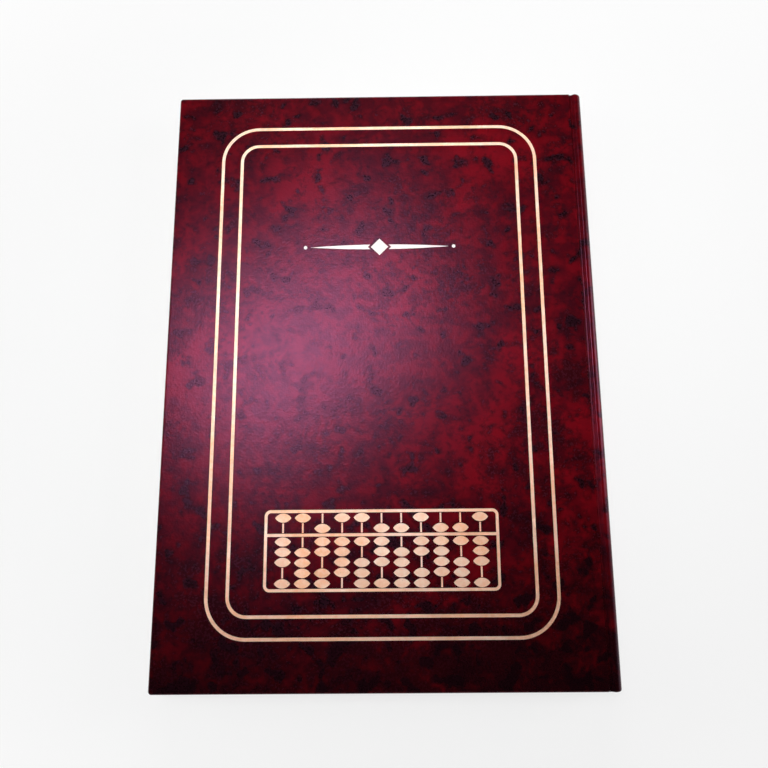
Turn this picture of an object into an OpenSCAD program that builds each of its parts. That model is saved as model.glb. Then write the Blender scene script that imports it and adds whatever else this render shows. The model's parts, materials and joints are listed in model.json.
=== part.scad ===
// Right-bound hardback accounting journal lying closed on its back cover, front cover up.
// Units are millimetres. X runs from the fore edge to the spine, Y from tail to head, Z up.
// The origin is the middle of the closed journal's underside.

/* [Page block] */
// Width of a leaf from its fold to the fore edge
page_w = 210; // [150:1:230]
// Height of a leaf from tail to head
page_h = 297; // [210:1:320]
// Thickness of one leaf together with the air beside it
leaf_t = 0.11; // [0.09:0.01:0.14]
// Folded sheets nested in one sewn section
sheets = 4; // [3:1:5]
// Air left between two nested leaves
leaf_air = 0.01; // [0.006:0.002:0.02]
// Thickness of the heavier paper of the flyleaves and pastedowns
end_t = 0.16; // [0.12:0.02:0.24]
// Air between the two halves of the block and under the front cover
block_air = 0.1; // [0.1:0.05:0.3]

/* [Case] */
// Thickness of the two cover boards
board_t = 2.4; // [2:0.1:3]
// Thickness of the leatherette covering
skin_t = 0.45; // [0.3:0.05:0.6]
// Overhang of the boards past the leaves at head, tail and fore edge
square_w = 3.5; // [2.5:0.5:5]
// Width of the covering folded onto the inside of a board
turn_in = 15; // [10:1:20]
// Plan radius of the two fore-edge corners
corner_r = 1.6; // [1:0.2:3]

/* [Spine and joints] */
// Thickness of the stiffener inside the spine of the case
spine_board_t = 1.6; // [1.2:0.1:2]
// Open space between the lined block and the spine of the case
hollow = 1.2; // [1:0.1:2]
// Outer radius of the two spine shoulders
shoulder_r = 3.2; // [2.4:0.1:3.6]
// Distance from the back of the spine to the spine edge of the boards
board_setback = 6.7; // [6.4:0.1:9]
// Depth of the pressed groove between board and spine
groove_d = 1.2; // [0.6:0.1:1.5]
// Step down from the board face to the top of the shoulder
shoulder_drop = 0.3; // [0:0.1:0.6]

/* [Sewing and linings] */
// Diameter of the sewing thread
thread_d = 0.26; // [0.2:0.02:0.28]
// Room along the folds for the thread
thread_room = 0.3; // [0.3:0.02:0.4]
// Thickness of the open-weave mull
mull_t = 0.2; // [0.14:0.02:0.3]
// Width of the mull flap glued to the inside of each board
mull_flap = 25; // [15:1:35]
// Thickness of the kraft paper liner
liner_t = 0.25; // [0.15:0.05:0.35]
// Radius of the bead of the head and tail bands
bead_r = 0.9; // [0.6:0.1:1.1]
// Length of the band tape glued to the spine
band_tape = 8; // [5:1:9]

/* [Foil stamping] */
// Depth that the stamp presses into the covering
stamp_d = 0.1; // [0.06:0.02:0.2]
// Thickness of the foil film at the bottom of the stamp
foil_t = 0.05; // [0.03:0.01:0.06]
// Width of the two frame rules
rule_line = 1.6; // [1:0.1:2.4]
// Margin of the outer rule from the fore edge and the spine
rule_margin_x = 26; // [20:1:32]
// Margin of the outer rule from head and tail
rule_margin_y = 21.5; // [18:0.5:30]
// Distance between the two frame rules
rule_gap = 10; // [6:0.5:12]
// Corner radius of the outer rule
rule_r = 19; // [14:0.5:24]
// Length of the swelled rule in the upper panel
ornament_w = 72; // [50:1:80]
// Greatest thickness of the swelled rule
ornament_t = 2.6; // [1.5:0.1:4]
// Side of the diamond at the middle of the swelled rule
diamond = 6.4; // [4:0.2:9]
// Width of the stamped counting frame
abacus_w = 112; // [96:1:120]
// Height of the stamped counting frame
abacus_h = 38; // [36:1:44]
// Width of the lines of the counting frame
abacus_line = 1.4; // [1:0.1:1.8]

/* [Hidden] */
$fn = 48;

// Cutting tools reach this far past the faces that they open
over = 1;
// Steps along the joint's covering, and the share of them that cross the groove
joint_steps = 24;
groove_share = 0.625;
// Angle over which a joint's covering runs onto its shoulder, and the slit left before the spine's
joint_angle = 45;
slit_angle = 1;
half_sections = 6;

// Heights of the closed stack, from the table up
board_in = skin_t + board_t;
turn_top = board_in + skin_t;
block_z = turn_top + end_t;
section_t = 2 * sheets * leaf_t;
half_t = end_t + half_sections * section_t;
gutter_low = block_z + half_t;
gutter_z = gutter_low + block_air;
block_top = gutter_z + half_t;
total_t = block_top + block_air + block_z;

// Positions across the journal, from the fore edge to the spine
spine_stack = thread_room + mull_t + liner_t + hollow + spine_board_t + skin_t;
cover_w = square_w + page_w + spine_stack;
cover_h = page_h + 2 * square_w;
spine_x = cover_w / 2;
fore_x = -spine_x;
page_fore = fore_x + square_w;
fold_x = page_fore + page_w;
mull_x = fold_x + thread_room;
liner_x = mull_x + mull_t;
stiff_x = spine_x - skin_t - spine_board_t;
board_x = spine_x - board_setback;
shoulder_x = spine_x - shoulder_r;
shoulder_low = shoulder_drop + shoulder_r;
shoulder_high = total_t - shoulder_low;

// Angle of the shoulder that a joint's covering takes
shoulder_angle = joint_angle - slit_angle;

// Lengths along the spine, each short of the leaf by a margin at both ends
mull_margin = 15;
tape_gap = 2;
paste_gap = 0.5;
mull_h = page_h - 2 * mull_margin;
liner_h = page_h - 2 * (band_tape + tape_gap);
pastedown_end = fold_x - paste_gap;

// Sewing stations along the fold
stitches = 5;
stitch_margin = 18;
stitch_pitch = (page_h - 2 * stitch_margin) / stitches;
stitch_gap = 6;
link_gap = 2;

// Stamping on the front cover
rule_w = cover_w - 2 * rule_margin_x;
rule_h = cover_h - 2 * rule_margin_y;
rule_x = -1;
rule_y = 2.4;
ornament_drop = 57.9;
ornament_y = rule_y + rule_h / 2 - rule_gap - ornament_drop;
swell_steps = 32;
diamond_clear = 1.1;
dot_r = 0.9;
dot_gap = 2.4;
abacus_clear = 11.1;
abacus_y = rule_y - rule_h / 2 + rule_gap + abacus_clear + abacus_h / 2;
abacus_r = 3;
rods = 11;
beads_low = 4;
rod_line = 0.8;
rod_clear = 0.35;
rod_pitch = (abacus_w - 2 * abacus_line) / (rods + 0.6);
bead_share = 0.82;
bead_w = rod_pitch * bead_share;
bead_h = 4.3;
bead_pitch = 4.75;
deck_top = abacus_h / 2 - abacus_line;
upper_deck = 2.2;
beam_y = deck_top - upper_deck * bead_pitch;

// Number that each rod of the counting frame shows
function digit(i) = (7 * i + 3) % 10;

// Height of bead j on rod i, with bead 0 in the upper deck and the rest in the lower one
function bead_y(i, j) =
    j == 0
        ? (digit(i) >= 5 ? beam_y + abacus_line / 2 + bead_pitch / 2 : deck_top - bead_pitch / 2)
        : (j <= digit(i) % 5
            ? beam_y - abacus_line / 2 - (j - 0.5) * bead_pitch
            : -deck_top + (beads_low - j + 0.5) * bead_pitch);

// Height of the outer face of the joint groove at the share u of its width
function groove_z(u) = total_t - shoulder_drop * u - groove_d * pow(sin(180 * u), 2);

// Point of the joint's covering at the share t of its run and the depth d under its face,
// first across the groove and then over the shoulder down to its middle
function joint_point(t, d) =
    t <= groove_share
        ? [board_x + (shoulder_x - board_x) * t / groove_share, groove_z(t / groove_share) - d]
        : shoulder_point(90 - shoulder_angle * (t - groove_share) / (1 - groove_share), shoulder_r - d);

// Point of the front shoulder at an angle above level
function shoulder_point(a, r) = [shoulder_x + r * cos(a), shoulder_high + r * sin(a)];

// Point of a swelled rule's edge at the share u of its length
function swell_point(u, w, half) = [(u - 0.5) * w, half * (1 - pow(2 * u - 1, 2))];

// Turns a flat profile drawn in X and Z into a bar along Y
module along_y(length) {
    rotate([90, 0, 0])
        linear_extrude(height = length, center = true)
            children();
}

// Turns a piece of the back half over to the front half
module to_front() {
    translate([0, 0, total_t])
        mirror([0, 0, 1])
            children();
}

// Box between two corners
module block(a, b) {
    translate(a)
        cube(b - a);
}

// Rounded rectangle about the origin
module round_rect(w, h, r) {
    square([w - 2 * r, h], center = true);
    square([w, h - 2 * r], center = true);
    for (sx = [-1, 1])
        for (sy = [-1, 1])
            translate([sx * (w / 2 - r), sy * (h / 2 - r)])
                circle(r);
}

// Line of even width along a rounded rectangle
module round_frame(w, h, r, line) {
    difference() {
        round_rect(w, h, r);
        round_rect(w - 2 * line, h - 2 * line, r - line);
    }
}

// Pointed oval made by two equal arcs, w long and t thick
module lens(w, t) {
    arc_r = (w * w + t * t) / (4 * t);
    intersection() {
        translate([0, arc_r - t / 2])
            circle(arc_r, $fn = 180);
        translate([0, t / 2 - arc_r])
            circle(arc_r, $fn = 180);
    }
}

// Long rule of length w that swells to the thickness t at its middle
module swelled_rule(w, t) {
    upper = [for (i = [0 : swell_steps]) swell_point(i / swell_steps, w, t / 2)];
    lower = [for (i = [swell_steps - 1 : -1 : 1]) swell_point(i / swell_steps, w, -t / 2)];
    polygon(concat(upper, lower));
}

// Plan of a cover with its two fore-edge corners rounded
module cover_plan(inset, r) {
    x0 = fore_x + inset;
    y0 = cover_h / 2 - inset;
    translate([x0 + r, -y0])
        square([board_x - x0 - r, 2 * y0]);
    translate([x0, r - y0])
        square([board_x - x0, 2 * (y0 - r)]);
    for (sy = [-1, 1])
        translate([x0 + r, sy * (y0 - r)])
            circle(r);
}

// Covering of one board with its outer face, three edges and three turn-ins
module board_wrap() {
    window_y = cover_h / 2 - turn_in;
    difference() {
        linear_extrude(height = turn_top)
            cover_plan(0, corner_r);
        board_core();
        block([fore_x + turn_in, -window_y, board_in - over / 10],
              [board_x + over, window_y, turn_top + over]);
    }
}

// Cover board inside its covering
module board_core() {
    translate([0, 0, skin_t])
        linear_extrude(height = board_t)
            cover_plan(skin_t, corner_r - skin_t);
}

// Space that the mull flap takes on the inside of a board
module flap_space(end_x) {
    block([board_x - mull_flap, -mull_h / 2, board_in], [end_x, mull_h / 2, board_in + mull_t]);
}

// Paper glued over the turn-ins, the mull flap and the bare board between them
module pastedown_sheet() {
    wx = fore_x + turn_in;
    wy = cover_h / 2 - turn_in;
    flap_y = mull_h / 2 + end_t;
    difference() {
        union() {
            block([page_fore, -page_h / 2, turn_top], [pastedown_end, page_h / 2, block_z]);
            difference() {
                block([wx, -wy, board_in], [board_x, wy, block_z]);
                block([wx + end_t, end_t - wy, board_in + end_t],
                      [board_x - end_t, wy - end_t, turn_top]);
            }
            block([board_x - mull_flap - end_t, -flap_y, board_in],
                  [board_x, flap_y, board_in + mull_t + end_t]);
        }
        block([wx + end_t, end_t - wy, turn_top - over / 100],
              [board_x - end_t, wy - end_t, block_z + over]);
        flap_space(pastedown_end);
    }
}

// Covering pressed into the joint and over half of a shoulder, drawn for the front
module joint_profile() {
    outer = [for (i = [0 : joint_steps]) joint_point(i / joint_steps, 0)];
    inner = [for (i = [joint_steps : -1 : 0]) joint_point(i / joint_steps, skin_t)];
    polygon(concat(outer, inner));
}

// Covering round the spine between the middles of the two shoulders
module spine_profile() {
    wide = 2 * shoulder_r;
    intersection() {
        difference() {
            spine_outline(shoulder_r);
            spine_outline(shoulder_r - skin_t);
        }
        polygon([
            [shoulder_x, shoulder_high],
            [shoulder_x + wide, shoulder_high + wide],
            [shoulder_x + wide, shoulder_low - wide],
            [shoulder_x, shoulder_low]
        ]);
    }
}

// Filled outline of the spine with shoulders of radius r
module spine_outline(r) {
    translate([shoulder_x - r, shoulder_low])
        square([2 * r, shoulder_high - shoulder_low]);
    for (z = [shoulder_low, shoulder_high])
        translate([shoulder_x, z])
            circle(r);
}

// One folded sheet, number k from the inside of its section, about the section's middle
module folded_sheet(k) {
    fold_r = sheets * leaf_t;
    r_in = k * leaf_t + leaf_air / 2;
    r_out = (k + 1) * leaf_t - leaf_air / 2;
    bend_x = fold_x - fold_r;
    difference() {
        union() {
            translate([page_fore, -r_out])
                square([bend_x - page_fore, 2 * r_out]);
            translate([bend_x, 0])
                circle(r_out, $fn = 24);
        }
        translate([page_fore - over, -r_in])
            square([bend_x - page_fore + over, 2 * r_in]);
        translate([bend_x, 0])
            circle(r_in, $fn = 24);
    }
}

// Middle height of section i, counted from 0 at the back
function section_z(i) =
    i < half_sections
        ? block_z + end_t + (i + 0.5) * section_t
        : gutter_z + (i - half_sections + 0.5) * section_t;

// One sewn section of nested folded sheets
module section(i) {
    color("ivory")
        for (k = [0 : sheets - 1])
            translate([0, 0, section_z(i)])
                along_y(page_h)
                    folded_sheet(k);
}

// Thread along the folds of the sections from first to last, with the links at their ends
module thread(first, last) {
    tx = fold_x + thread_room / 2;
    link_y = stitches * stitch_pitch / 2 + link_gap;
    for (i = [first : last])
        for (s = [0 : stitches - 1])
            translate([tx, (s + 0.5 - stitches / 2) * stitch_pitch, section_z(i)])
                rotate([90, 0, 0])
                    cylinder(d = thread_d, h = stitch_pitch - stitch_gap, center = true);
    for (sy = [-1, 1])
        translate([tx, sy * link_y, section_z(first) - section_t / 4])
            cylinder(d = thread_d, h = (last - first + 0.5) * section_t);
}

// Head and tail bands between two heights, each a bead on a glued tape
module bands(low, high) {
    y_end = page_h / 2 + bead_r;
    for (m = [0, 1])
        mirror([0, m, 0])
            translate([0, 0, low])
                linear_extrude(height = high - low) {
                    translate([liner_x - bead_r + liner_t / 2, y_end + leaf_air])
                        circle(bead_r);
                    translate([liner_x, page_h / 2 - band_tape])
                        square([liner_t, band_tape + bead_r]);
                }
}

// Flat shape pressed into the front cover, or the film at the bottom of it
module stamp(depth, height) {
    translate([0, 0, total_t - depth])
        linear_extrude(height = height)
            children();
}

// Plan of the outer frame rule
module outer_rule_plan() {
    translate([rule_x, rule_y])
        round_frame(rule_w + rule_line, rule_h + rule_line, rule_r + rule_line / 2, rule_line);
}

// Plan of the inner frame rule
module inner_rule_plan() {
    w = rule_w - 2 * rule_gap + rule_line;
    h = rule_h - 2 * rule_gap + rule_line;
    translate([rule_x, rule_y])
        round_frame(w, h, rule_r - rule_gap + rule_line / 2, rule_line);
}

// Plan of the swelled rule, parted round a diamond, with a dot past each end
module ornament_plan() {
    translate([rule_x, ornament_y]) {
        difference() {
            swelled_rule(ornament_w, ornament_t);
            rotate(45)
                square(diamond + 2 * diamond_clear, center = true);
        }
        rotate(45)
            square(diamond, center = true);
        for (sx = [-1, 1])
            translate([sx * (ornament_w / 2 + dot_gap), 0])
                circle(dot_r);
    }
}

// Plan of the counting frame's border and beam
module abacus_frame_plan() {
    translate([rule_x, abacus_y]) {
        round_frame(abacus_w, abacus_h, abacus_r, abacus_line);
        translate([0, beam_y])
            square([abacus_w - abacus_line, abacus_line], center = true);
    }
}

// Plan of the rods where they show between the beads
module abacus_rods_plan() {
    translate([rule_x, abacus_y])
        difference() {
            for (i = [0 : rods - 1])
                translate([(i - (rods - 1) / 2) * rod_pitch, 0])
                    square([rod_line, 2 * deck_top - 2 * rod_clear], center = true);
            translate([0, beam_y])
                square([abacus_w, abacus_line + 2 * rod_clear], center = true);
            bead_shapes(bead_w + 2 * rod_clear, bead_h + 2 * rod_clear);
        }
}

// Plan of all beads of the counting frame
module abacus_beads_plan() {
    translate([rule_x, abacus_y])
        bead_shapes(bead_w, bead_h);
}

// Pointed bead shapes of a given size on every rod
module bead_shapes(w, h) {
    for (i = [0 : rods - 1])
        for (j = [0 : beads_low])
            translate([(i - (rods - 1) / 2) * rod_pitch, bead_y(i, j)])
                lens(w, h);
}

module back_leatherette() {
    color("maroon")
        board_wrap();
}

module back_board() {
    color("darkgray")
        board_core();
}

module back_joint() {
    color("maroon")
        to_front()
            along_y(cover_h)
                joint_profile();
}

module back_pastedown() {
    color("antiquewhite")
        pastedown_sheet();
}

module back_flyleaf() {
    color("antiquewhite")
        block([page_fore, -page_h / 2, block_z], [fold_x, page_h / 2, block_z + end_t]);
}

module back_sewing() {
    color("white")
        thread(0, half_sections - 1);
}

module back_mull() {
    color("whitesmoke") {
        flap_space(mull_x);
        block([mull_x, -mull_h / 2, board_in], [liner_x, mull_h / 2, gutter_low]);
    }
}

module back_liner() {
    color("peru")
        block([liner_x, -liner_h / 2, block_z + end_t], [liner_x + liner_t, liner_h / 2, gutter_low]);
}

module back_bands() {
    color("firebrick")
        bands(block_z + end_t, gutter_low);
}

module front_flyleaf() {
    color("antiquewhite")
        block([page_fore, -page_h / 2, block_top - end_t], [fold_x, page_h / 2, block_top]);
}

module front_sewing() {
    color("white")
        thread(half_sections, 2 * half_sections - 1);
}

module front_mull() {
    color("whitesmoke")
        block([mull_x, -mull_h / 2, gutter_z], [liner_x, mull_h / 2, block_top]);
}

module front_liner() {
    color("peru")
        block([liner_x, -liner_h / 2, gutter_z], [liner_x + liner_t, liner_h / 2, block_top - end_t]);
}

module front_bands() {
    color("firebrick")
        bands(gutter_z, block_top - end_t);
}

module spine_board() {
    y = cover_h / 2 - skin_t;
    color("darkgray")
        block([stiff_x, -y, shoulder_low], [spine_x - skin_t, y, shoulder_high]);
}

module spine_leatherette() {
    y_in = cover_h / 2 - turn_in;
    y_cap = cover_h / 2 - skin_t;
    color("maroon") {
        along_y(cover_h)
            spine_profile();
        for (m = [0, 1])
            mirror([0, m, 0]) {
                block([stiff_x - skin_t, y_in, shoulder_low], [stiff_x, cover_h / 2, shoulder_high]);
                block([stiff_x - skin_t, y_cap, shoulder_low],
                      [spine_x - skin_t / 2, cover_h / 2, shoulder_high]);
            }
    }
}

module front_leatherette() {
    color("maroon")
        difference() {
            to_front()
                board_wrap();
            stamp(stamp_d, over) {
                outer_rule_plan();
                inner_rule_plan();
                ornament_plan();
                abacus_frame_plan();
                abacus_rods_plan();
                abacus_beads_plan();
            }
        }
}

module front_board() {
    color("darkgray")
        to_front()
            board_core();
}

module front_joint() {
    color("maroon")
        along_y(cover_h)
            joint_profile();
}

module front_pastedown() {
    color("antiquewhite")
        to_front()
            pastedown_sheet();
}

module front_mull_flap() {
    color("whitesmoke")
        to_front()
            flap_space(pastedown_end);
}

module foil_outer_rule() {
    color("gold")
        stamp(stamp_d, foil_t)
            outer_rule_plan();
}

module foil_inner_rule() {
    color("gold")
        stamp(stamp_d, foil_t)
            inner_rule_plan();
}

module foil_ornament() {
    color("linen")
        stamp(stamp_d, foil_t)
            ornament_plan();
}

module foil_abacus_frame() {
    color("gold")
        stamp(stamp_d, foil_t)
            abacus_frame_plan();
}

module foil_abacus_rods() {
    color("gold")
        stamp(stamp_d, foil_t)
            abacus_rods_plan();
}

module foil_abacus_beads() {
    color("gold")
        stamp(stamp_d, foil_t)
            abacus_beads_plan();
}

back_leatherette();
back_board();
back_joint();
back_pastedown();
back_flyleaf();
section(0);  // section_01
section(1);  // section_02
section(2);  // section_03
section(3);  // section_04
section(4);  // section_05
section(5);  // section_06
back_sewing();
back_mull();
back_liner();
back_bands();
section(6);  // section_07
section(7);  // section_08
section(8);  // section_09
section(9);  // section_10
section(10);  // section_11
section(11);  // section_12
front_flyleaf();
front_sewing();
front_mull();
front_liner();
front_bands();
spine_board();
spine_leatherette();
front_leatherette();
front_board();
front_joint();
front_pastedown();
front_mull_flap();
foil_outer_rule();
foil_inner_rule();
foil_ornament();
foil_abacus_frame();
foil_abacus_rods();
foil_abacus_beads();
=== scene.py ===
"""Accounting journal: covering, leaves, bands, finishes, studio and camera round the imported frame."""

import json
import logging
import math
from collections.abc import Callable
from dataclasses import dataclass
from enum import Enum
from functools import reduce

import bmesh
import bpy
import numpy as np
from bpy.types import ID, Material, Mesh, Node, NodeSocket, Object, World
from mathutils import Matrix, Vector, geometry


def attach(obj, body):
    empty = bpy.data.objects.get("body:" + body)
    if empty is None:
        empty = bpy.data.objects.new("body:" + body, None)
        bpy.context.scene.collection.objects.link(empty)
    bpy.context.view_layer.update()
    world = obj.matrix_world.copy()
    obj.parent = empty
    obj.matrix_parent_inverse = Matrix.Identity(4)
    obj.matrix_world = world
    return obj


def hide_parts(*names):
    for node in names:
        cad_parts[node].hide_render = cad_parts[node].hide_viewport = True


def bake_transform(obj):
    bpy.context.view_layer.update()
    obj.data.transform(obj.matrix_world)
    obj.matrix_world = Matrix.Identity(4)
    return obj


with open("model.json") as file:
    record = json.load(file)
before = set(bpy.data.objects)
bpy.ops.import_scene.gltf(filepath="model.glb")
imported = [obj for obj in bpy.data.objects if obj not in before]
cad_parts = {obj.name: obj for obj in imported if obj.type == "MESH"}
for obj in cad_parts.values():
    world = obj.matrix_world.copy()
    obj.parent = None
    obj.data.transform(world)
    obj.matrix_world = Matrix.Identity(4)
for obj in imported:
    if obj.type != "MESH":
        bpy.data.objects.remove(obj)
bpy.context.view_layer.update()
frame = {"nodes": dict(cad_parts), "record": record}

LOG = logging.getLogger("journal")
MM = 0.001
REST = "rest"
TONE = "tone"
# Points and quads of a surface.
Shell = tuple[np.ndarray, np.ndarray]
# Lengths that count as none: WELD and NO_EDGE in metres, NEAR in millimetres.
WELD = 2e-7
NO_EDGE = 1e-8
NEAR = 1e-7
# Least divisors, in place of nought.
TINY = 1e-9
LEVEL = 1e-12


@dataclass(frozen=True)
class Sizes:
    """Sizes of the closed journal in millimetres, as the solids of the frame have them.

    Names in w, h, t, d and r are widths, heights, thicknesses, depths and radii, and names in x and z
    are places. The back half of the block ends at gutter_low and the front half starts at gutter_z. A
    shoulder is the round edge of the spine, placed by its middle.
    """

    page_w: float = 210.0
    page_h: float = 297.0
    leaf_t: float = 0.11
    sheets: int = 4
    half_sections: int = 6
    end_t: float = 0.16
    block_air: float = 0.1
    board_t: float = 2.4
    skin_t: float = 0.45
    square_w: float = 3.5
    turn_in: float = 15.0
    corner_r: float = 1.6
    spine_board_t: float = 1.6
    shoulder_r: float = 3.2
    board_setback: float = 6.7
    groove_d: float = 1.2
    shoulder_drop: float = 0.3
    spine_stack: float = 4.0
    stamp_d: float = 0.1
    liner_gap: float = 0.5
    liner_t: float = 0.25
    bead_r: float = 0.9
    band_tape: float = 8.0

    # From here on, sizes that follow from those above.
    cover_w: float = square_w + page_w + spine_stack
    cover_h: float = page_h + 2 * square_w
    wrap_t: float = board_t + 2 * skin_t
    section_t: float = 2 * sheets * leaf_t
    block_z: float = wrap_t + end_t
    gutter_low: float = block_z + end_t + half_sections * section_t
    gutter_z: float = gutter_low + block_air
    total_t: float = gutter_z + gutter_low + block_air
    fore_x: float = -cover_w / 2
    spine_x: float = cover_w / 2
    board_x: float = spine_x - board_setback
    shoulder_x: float = spine_x - shoulder_r
    shoulder_z: float = total_t - shoulder_drop - shoulder_r
    page_fore: float = fore_x + square_w
    fold_x: float = page_fore + page_w

    def section_z(self, number: int) -> float:
        """Middle height of a section, counted from 1 at the back."""
        gutter = self.gutter_low if number <= self.half_sections else self.gutter_z
        return gutter + (number - self.half_sections - 0.5) * self.section_t


class CaseSide(Enum):
    """Which half of the case a covering belongs to."""

    FRONT = "front"
    BACK = "back"


def grid_quads(at: np.ndarray) -> np.ndarray:
    """Quads of a grid of point numbers, each between two neighbouring rows and columns."""
    return np.stack([at[:-1, :-1], at[1:, :-1], at[1:, 1:], at[:-1, 1:]], -1).reshape(-1, 4)


def numbered(rows: int, columns: int) -> np.ndarray:
    """Grid of point numbers, counted row by row."""
    return np.arange(rows * columns).reshape(rows, columns)


def surface(x: np.ndarray, y: np.ndarray, z: np.ndarray) -> Shell:
    """Points and quads of a surface whose coordinates are arrays over two parameters."""
    grid = np.stack(np.broadcast_arrays(x, y, z), -1)
    return grid.reshape(-1, 3), grid_quads(numbered(*grid.shape[:2]))


def unit(vectors: np.ndarray) -> np.ndarray:
    """Rows of an array, each brought to a length of one."""
    return vectors / np.maximum(np.linalg.norm(vectors, axis=1, keepdims=True), TINY)


def lifted(flat: np.ndarray, height: float) -> np.ndarray:
    """Points of a line or a plan, all set at one height."""
    return np.concatenate([flat, np.full((len(flat), 1), height)], 1)


def joined(shells: list[Shell]) -> Shell:
    """Puts shells into one list of points and one list of quads.

    Args:
        shells: Points and quads of each shell.

    Returns:
        All points, and all quads with their numbers moved on.
    """
    starts = np.cumsum([0] + [len(points) for points, _ in shells[:-1]])
    quads = [faces + start for (_, faces), start in zip(shells, starts)]
    return np.concatenate([points for points, _ in shells]), np.concatenate(quads)


def link(name: str, data: ID) -> Object:
    """Makes an object and links it to the scene.

    Args:
        name: Name of the object.
        data: Its mesh, lamp or camera.

    Returns:
        The object.
    """
    made = bpy.data.objects.new(name, data)
    bpy.context.scene.collection.objects.link(made)
    return made


def to_object(
    name: str, points: np.ndarray, faces: np.ndarray | list, *, weld: bool = False, closed: bool = False
) -> Object:
    """Makes an object from points in millimetres.

    Args:
        name: Name of the piece.
        points: One row per point.
        faces: Rows of point numbers.
        weld: Whether points at one place are merged and faces without area dropped.
        closed: Whether the faces make closed shells, which are turned to point outwards.

    Returns:
        The new object, linked to the scene.
    """
    mesh = bpy.data.meshes.new(name)
    mesh.from_pydata((points * MM).tolist(), [], [tuple(int(i) for i in face) for face in faces])
    work = bmesh.new()
    work.from_mesh(mesh)
    if weld:
        bmesh.ops.remove_doubles(work, verts=work.verts, dist=WELD)
        bmesh.ops.dissolve_degenerate(work, edges=work.edges, dist=NO_EDGE)
    if closed:
        bmesh.ops.recalc_face_normals(work, faces=work.faces)
    work.to_mesh(mesh)
    work.free()
    mesh.validate()
    return link(name, mesh)


def places(mesh: Mesh) -> np.ndarray:
    """Reads the places of a mesh's points.

    Args:
        mesh: The mesh.

    Returns:
        One row per point, in millimetres.
    """
    flat = np.zeros(len(mesh.vertices) * 3, np.float32)
    mesh.vertices.foreach_get("co", flat)
    return flat.reshape(-1, 3).astype(float) / MM


def keep(piece: Object, name: str, values: np.ndarray) -> None:
    """Stores one number or one place per point as an attribute that finishes can read."""
    made = piece.data.attributes.new(name, "FLOAT" if values.ndim == 1 else "FLOAT_VECTOR", "POINT")
    made.data.foreach_set("value" if values.ndim == 1 else "vector", values.astype(np.float32).ravel())


def apply_modifiers(piece: Object) -> None:
    """Makes what the modifiers of a piece give its own mesh."""
    piece.data = bpy.data.meshes.new_from_object(piece.evaluated_get(bpy.context.evaluated_depsgraph_get()))
    piece.modifiers.clear()


def wear(piece: Object, material: Material) -> None:
    """Gives a piece one material in place of those it has."""
    piece.data.materials.clear()
    piece.data.materials.append(material)


def dress(piece: Object, degrees: float, material: Material) -> None:
    """Finishes a made piece: smooth shading, places at rest and a material.

    Args:
        piece: The piece.
        degrees: Edges that turn by more than this stay sharp.
        material: Its material.
    """
    piece.data.shade_smooth()
    piece.data.set_sharp_from_angle(angle=math.radians(degrees))
    keep(piece, REST, places(piece.data))
    wear(piece, material)


def math_node(operation: str, first: bool = True) -> Callable[["Sock", "Sock | float"], "Sock"]:
    """Makes a method that joins a socket and another value in a Math node.

    Args:
        operation: Name of the node's operation.
        first: Whether the socket is the first of the two values or the second.

    Returns:
        The method.
    """

    def join(self: "Sock", other: "Sock | float") -> "Sock":
        """Adds the node and returns its result."""
        values = (self, other) if first else (other, self)
        return self.shader.add("ShaderNodeMath", {"operation": operation}, dict(enumerate(values)))

    return join


class Sock:
    """A socket of a node tree that can be used in Python expressions.

    A comparison gives 1 where it holds and 0 elsewhere, and most gives the larger of two values.
    """

    def __init__(self, shader: "Shader", socket: NodeSocket) -> None:
        """Wraps one output socket of a shader's tree."""
        self.shader = shader
        self.socket = socket

    __add__ = __radd__ = math_node("ADD")
    __sub__ = math_node("SUBTRACT")
    __rsub__ = math_node("SUBTRACT", first=False)
    __mul__ = __rmul__ = math_node("MULTIPLY")
    __truediv__ = math_node("DIVIDE")
    __rtruediv__ = math_node("DIVIDE", first=False)
    __pow__ = math_node("POWER")
    __rpow__ = math_node("POWER", first=False)
    __lt__ = math_node("LESS_THAN")
    __gt__ = math_node("GREATER_THAN")
    most = math_node("MAXIMUM")

    def __abs__(self) -> "Sock":
        """Size without sign."""
        return self.shader.add("ShaderNodeMath", {"operation": "ABSOLUTE"}, {0: self})

    def fract(self) -> "Sock":
        """Part after the point."""
        return self.shader.add("ShaderNodeMath", {"operation": "FRACT"}, {0: self})

    def ramp(self, low: float, high: float, start: float = 0.0, end: float = 1.0) -> "Sock":
        """Runs smoothly from start to end as this value goes from low to high, and stays there."""
        inputs = {0: self, 1: low, 2: high, 3: start, 4: end}
        return self.shader.add("ShaderNodeMapRange", {"interpolation_type": "SMOOTHSTEP"}, inputs)


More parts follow.
